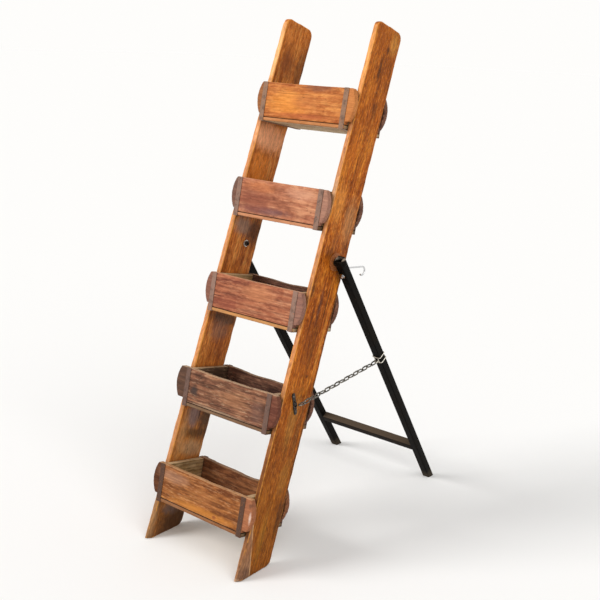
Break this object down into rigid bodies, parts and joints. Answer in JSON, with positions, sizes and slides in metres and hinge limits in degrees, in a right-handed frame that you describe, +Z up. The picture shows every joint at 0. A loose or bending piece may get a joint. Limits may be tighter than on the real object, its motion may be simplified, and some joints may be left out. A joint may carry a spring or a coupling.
{
  "type": "plant ladder stand",
  "caption": "Leaning timber ladder whose steps are open wooden brick moulds for plants, propped by a folding steel rear frame with a check chain.",
  "frame": {"origin": "on the floor, half way between the tips of the rails and the rear corners of the leg feet, in the middle plane", "axes": "+Z up, +Y towards the rear frame, +X towards the side with the chain"},
  "size_m": [0.4286, 0.9776, 1.4978],
  "materials": {
    "rail_timber": "old hardwood, oiled and worn, honey to red brown",
    "mould_timber": "old softwood, dull, red brown with grey stains",
    "base_timber": "rough sawn, bare",
    "strap_iron": "thin strap iron, brown with age",
    "black_steel": "black paint, satin, worn at the corners",
    "plate_iron": "blackened iron, dull",
    "chain_steel": "plated steel, dull grey",
    "bright_steel": "zinc plated steel, bright"
  },
  "bodies": {
    "ladder": {"left_rail": "rail_timber", "right_rail": "rail_timber", "mould_1_front_board": "mould_timber", "mould_1_rear_board": "mould_timber", "mould_1_left_end": "mould_timber", "mould_1_right_end": "mould_timber", "mould_1_base": "base_timber", "mould_1_left_strap": "strap_iron", "mould_1_right_strap": "strap_iron", "mould_2_front_board": "mould_timber", "mould_2_rear_board": "mould_timber", "mould_2_left_end": "mould_timber", "mould_2_right_end": "mould_timber", "mould_2_base": "base_timber", "mould_2_left_strap": "strap_iron", "mould_2_right_strap": "strap_iron", "mould_3_front_board": "mould_timber", "mould_3_rear_board": "mould_timber", "mould_3_left_end": "mould_timber", "mould_3_right_end": "mould_timber", "mould_3_base": "base_timber", "mould_3_left_strap": "strap_iron", "mould_3_right_strap": "strap_iron", "mould_4_front_board": "mould_timber", "mould_4_rear_board": "mould_timber", "mould_4_left_end": "mould_timber", "mould_4_right_end": "mould_timber", "mould_4_base": "base_timber", "mould_4_left_strap": "strap_iron", "mould_4_right_strap": "strap_iron", "mould_5_front_board": "mould_timber", "mould_5_rear_board": "mould_timber", "mould_5_left_end": "mould_timber", "mould_5_right_end": "mould_timber", "mould_5_base": "base_timber", "mould_5_left_strap": "strap_iron", "mould_5_right_strap": "strap_iron", "mould_screws": "strap_iron", "pivot_bolts": "black_steel", "wide_washers": "black_steel", "pivot_spacers": "black_steel", "nut_washers": "bright_steel", "pivot_nuts": "black_steel", "chain_plate": "plate_iron", "plate_screws": "plate_iron", "chain_staple": "plate_iron"},
    "rear_frame": {"left_leg": "black_steel", "right_leg": "black_steel", "crossbar": "black_steel", "weld_beads": "black_steel", "chain_tie": "chain_steel", "hook": "bright_steel", "hook_nuts": "bright_steel", "hook_washers": "bright_steel"},
    "chain_aft": {"chain_links_aft": "chain_steel"},
    "chain_mid": {"chain_link_mid": "chain_steel"},
    "chain_fore": {"chain_links_fore": "chain_steel"}
  },
  "joints": [
    {"name": "rear_frame_fold", "type": "hinge", "parent": "ladder", "child": "rear_frame", "pos_m": [0, -0.10272, 0.83865], "axis": [-1, 0, 0], "range_deg": [0, 49.5]},
    {"name": "chain_aft_swing", "type": "hinge", "parent": "rear_frame", "child": "chain_aft", "pos_m": [0.1975, 0.101, 0.49987], "axis": [1, 0, 0], "range_deg": [0, 116.4]},
    {"name": "chain_mid_turn", "type": "hinge", "parent": "chain_aft", "child": "chain_mid", "pos_m": [0.1975, -0.08243, 0.48022], "axis": [-1, 0, 0], "range_deg": [0, 107.6]},
    {"name": "chain_fore_turn", "type": "hinge", "parent": "chain_mid", "child": "chain_fore", "pos_m": [0.1975, -0.10118, 0.47822], "axis": [-1, 0, 0], "range_deg": [0, 66.4]}
  ],
  "couplings": [
    {"joint": "chain_aft_swing", "follows": "rear_frame_fold", "ratio": 2.3515},
    {"joint": "chain_mid_turn", "follows": "rear_frame_fold", "ratio": 2.1737},
    {"joint": "chain_fore_turn", "follows": "rear_frame_fold", "ratio": 1.3414}
  ]
}
